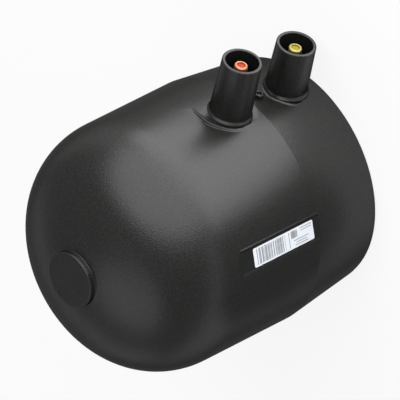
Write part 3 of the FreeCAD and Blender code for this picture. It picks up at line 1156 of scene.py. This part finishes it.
PRINT_RUNS = (
    PrintRun("label_bars", Finish.BARS, count=33, z=37.7, across=0.0, pitch=0.42,
             length=4.9, widest=0.85, least=0.25, kept=0.82, seed=7),
    PrintRun("label_short_bars", Finish.BARS, count=6, z=35.0, across=1.3, pitch=0.42,
             length=2.3, widest=0.85, least=0.4, kept=0.9, seed=11),
    PrintRun("label_top_lines", Finish.LINES, count=2, z=31.2, across=1.5, pitch=0.75,
             length=4.6, widest=0.42, least=0.8, kept=1.0, seed=5, lengthwise=True),
    PrintRun("label_low_lines", Finish.LINES, count=3, z=33.4, across=-2.2, pitch=0.75,
             length=6.0, widest=0.42, least=0.7, kept=1.0, seed=9, lengthwise=True),
)


@dataclass
class Label:
    """Film label in its pocket, with generic bars and grey lines of print."""

    pocket: LabelPlace
    z: float = 40.45
    long: float = 24.2
    high: float = 6.0
    thick: float = 0.12
    corner: float = 0.5
    lift: float = -0.1
    film_gap: float = 0.01
    print_gap: float = 0.004
    print_thick: float = 0.02

    def film(self) -> Object:
        """Builds the film as a thin plate with rounded corners."""
        half_high, half_long, corner = self.high / 2.0, self.long / 2.0, self.corner
        rim: list[Point] = []
        for sx, sy, start in ((1, 1, 0.0), (-1, 1, 0.5), (-1, -1, 1.0), (1, -1, 1.5)):
            middle = (sx * (half_high - corner) + self.lift, sy * (half_long - corner) + self.z)
            rim += arc(middle, corner, start * math.pi, (start + 0.5) * math.pi, 6)
        flat = np.array(rim)[::-1]
        middle = np.array([[self.lift, self.z]])
        over, under = self.thick, self.film_gap
        loops = ((middle, over), (flat, over), (flat, under), (middle, under))
        shape = Shape()
        shape.grid([
            placed(np.column_stack([loop, np.full(len(loop), level)]), self.pocket.place())
            for loop, level in loops])
        return shape.piece("label_plate", Finish.FILM.value.material())

    def print_run(self, run: PrintRun) -> Object:
        """Builds one run of print: strips at an even pitch, of random width and number.

        Args:
            run: where the run lies on the label and how its strips vary.

        Returns:
            The run, laid on the film.
        """
        recipe = Recipe(run.name)
        count = recipe.size("Strip count", run.count)
        pitch = recipe.size("Pitch", run.pitch * MM)
        reach = recipe.size("Strip length", run.length * MM)
        share = recipe.size("Kept share", run.kept)
        start = recipe.vector(run.across * MM, run.z * MM, 0.0)
        width, thick = pitch * run.widest, self.print_thick * MM
        if run.lengthwise:
            offset, size = recipe.vector(pitch, 0.0, 0.0), recipe.vector(width, reach, thick)
        else:
            offset, size = recipe.vector(0.0, pitch, 0.0), recipe.vector(reach, width, thick)
        line = recipe.node("GeometryNodeMeshLine", {}, {
            "Count": count, "Start Location": start, "Offset": offset}).signal()
        random = recipe.node("FunctionNodeRandomValue", {"data_type": "FLOAT"}, {
            2: run.least, 3: 1.0, "Seed": run.seed}).signal(1)
        keep = recipe.node("FunctionNodeRandomValue", {"data_type": "BOOLEAN"}, {
            "Probability": share, "Seed": run.seed + 1}).signal(3)
        strip = recipe.node("GeometryNodeMeshCube", {}, {"Size": size}).signal()
        strips = recipe.node("GeometryNodeInstanceOnPoints", {}, {
            "Points": line, "Selection": keep, "Instance": strip,
            "Scale": recipe.vector(1.0, random, 1.0)}).signal()
        recipe.finish(strips, run.ink.value.material())
        return self.laid(recipe.run(run.name))

    def laid(self, piece: Object) -> Object:
        """Moves a flat print's mesh onto the film.

        Args:
            piece: print made flat, along the label's own axes.

        Returns:
            The same object.
        """
        place = self.pocket.place()
        place.translation *= MM
        lift = Matrix.Translation((self.lift * MM, 0.0, (self.thick + self.print_gap) * MM))
        piece.data.transform(place @ lift)
        return piece

    def make(self) -> None:
        """Builds and dresses the film and its print."""
        settle(self.film(), "label_film", "barcode_label")
        for run in PRINT_RUNS:
            settle(self.print_run(run), "label_film")


# ---------------------------- studio


@dataclass(frozen=True)
class Softbox:
    """An even oval lamp, by its middle in millimetres, its tilt and its brightness."""

    name: str
    middle: tuple[float, float, float]
    azimuth: float
    tilt: float
    wide: float
    long: float
    radiance: float

    def make(self) -> None:
        """Makes the lamp: tilt 0 lies flat and shines up, tilt 90 stands and shines inwards."""
        around, tilt = math.radians(self.azimuth), math.radians(self.tilt)
        across = Vector((-math.sin(around), math.cos(around), 0.0))
        rise, run = math.sin(tilt), math.cos(tilt)
        back = across.cross(Vector((math.cos(around) * run, math.sin(around) * run, rise)))
        data = bpy.data.lights.new(self.name, "AREA")
        data.shape, data.size, data.size_y = "ELLIPSE", self.wide * MM, self.long * MM
        data.energy = self.radiance * math.pi * data.size * data.size_y * math.pi / 4.0
        lamp = linked(bpy.data.objects.new(self.name, data))
        lamp.matrix_world = axes_at(across, back.cross(across), back, Vector(self.middle) * MM)
        lamp.visible_camera = False


SOFTBOXES = (
    Softbox("low_softbox", (246.0, -8.0, 2.0), 0.0, 0.0, 380.0, 380.0, 2.9),
    Softbox("upright_softbox", (500.0, -20.0, 80.0), 0.0, 100.0, 1080.0, 1450.0, 2.75),
    Softbox("rear_softbox", (-606.0, 350.0, 150.0), 150.0, 90.0, 1150.0, 270.0, 0.95),
    Softbox("back_softbox", (-459.0, -123.0, 868.0), 195.0, 150.0, 800.0, 800.0, 0.88),
)


@dataclass
class Studio:
    """Pale floor, a grey card that paints shade into the cap's reflections, soft lamps, grey
    surroundings and the camera.
    """

    right: Vector = field(default_factory=lambda: Vector((0.1586, -0.6845, -0.7116)))
    up: Vector = field(default_factory=lambda: Vector((0.7565, 0.5474, -0.3580)))
    aim: Vector = field(default_factory=lambda: Vector((6.03, 0.20, 38.8)) * MM)
    lens: float = 1500.0
    sensor: float = 36.0
    frame_width: float = 116.64
    clip: Point = (0.1, 40.0)
    floor_half: float = 3000.0
    floor_glow: float = 0.86
    world_strength: float = 0.35
    card_z: float = 0.5
    card: tuple[Point, ...] = (
        (-150.0, -300.0), (220.0, -220.0), (60.0, -35.0), (-50.0, -61.0), (-72.0, -66.0))

    def camera(self) -> None:
        """Makes the long-lens camera at the photograph's angle."""
        data = bpy.data.cameras.new("camera")
        data.sensor_width, data.lens = self.sensor, self.lens
        data.clip_start, data.clip_end = self.clip
        back = self.right.cross(self.up).normalized()
        right = self.up.cross(back).normalized()
        up = back.cross(right)
        distance = self.lens * self.frame_width / self.sensor * MM
        camera = linked(bpy.data.objects.new("camera", data))
        camera.matrix_world = axes_at(right, up, back, self.aim + back * distance)
        bpy.context.scene.camera = camera

    @staticmethod
    def seen(shader: Shader) -> Signal:
        """Picks the rays that show the background: camera, glossy and transmission rays.

        Args:
            shader: material that takes the nodes.

        Returns:
            1 for those rays and 0 for the others.
        """
        path = shader.node("ShaderNodeLightPath", {}, {})
        direct = path.signal("Is Camera Ray").either(path.signal("Is Glossy Ray"))
        return direct.either(path.signal("Is Transmission Ray"))

    @staticmethod
    def sheet(name: str, corners: Sequence[Point], z: float, material: Material) -> Object:
        """Makes a level sheet of the studio from its corners, in millimetres."""
        outline = Shape([(x, y, z) for x, y in corners], [tuple(range(len(corners)))])
        return outline.piece(name, material)

    def floor(self) -> None:
        """Makes the floor, which shows as white and keeps the object's shadow."""
        shader = Shader("pale_floor")
        white = shader.node("ShaderNodeEmission", {}, {
            "Color": (1.0, 1.0, 1.0, 1.0), "Strength": 1.0})
        matt = shader.node("ShaderNodeBsdfDiffuse", {}, {"Color": (0.86, 0.86, 0.85, 1.0)})
        mixed = shader.node("ShaderNodeMixShader", {}, {
            0: self.seen(shader) * self.floor_glow, 1: matt.signal(), 2: white.signal()})
        shader.node("ShaderNodeOutputMaterial", {}, {"Surface": mixed.signal()})
        half = self.floor_half
        corners = ((-half, -half), (half, -half), (half, half), (-half, half))
        floor = self.sheet("floor", corners, 0.0, shader.material)

    def reflected_shade_card(self) -> None:
        """Lays a grey card on the floor, out of the picture, which only glossy rays meet: a
        painted reflection of shade on the cap.
        """
        shader = Shader("reflected_shade_card")
        matt = shader.node("ShaderNodeBsdfDiffuse", {}, {"Color": (0.28, 0.28, 0.28, 1.0)})
        shader.node("ShaderNodeOutputMaterial", {}, {"Surface": matt.signal()})
        card = self.sheet("reflected_shade_card", self.card, self.card_z, shader.material)
        # Only glossy rays meet this card, so it paints shade into the cap's reflections and
        # nowhere else.
        card.visible_camera = card.visible_diffuse = card.visible_shadow = False

    def world(self) -> None:
        """Makes the even grey surroundings."""
        world = bpy.data.worlds.new("studio")
        world.use_nodes = True
        background = world.node_tree.nodes["Background"]
        background.inputs["Color"].default_value = (1.0, 1.0, 1.0, 1.0)
        background.inputs["Strength"].default_value = self.world_strength
        bpy.context.scene.world = world

    def make(self) -> None:
        """Builds the studio."""
        self.camera()
        self.floor()
        self.reflected_shade_card()
        self.world()
        for softbox in SOFTBOXES:
            softbox.make()
        bpy.context.scene.view_settings.view_transform = "Standard"


def main() -> None:
    """Builds every piece in order, then the studio."""
    logging.basicConfig(level=logging.INFO, format="%(name)s: %(message)s")
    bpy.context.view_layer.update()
    pocket = LabelPlace()
    CapMoulding(pocket).make()
    HeatingCoil().make()
    Terminal(DOME_TOWER, Finish.COPPER_TONE, Finish.RED_CORE).make()
    Terminal(MOUTH_TOWER, Finish.YELLOW, Finish.YELLOW_CORE).make()
    FusionIndicator().make()
    Label(pocket).make()
    Studio().make()


if __name__ == "__main__":
    main()
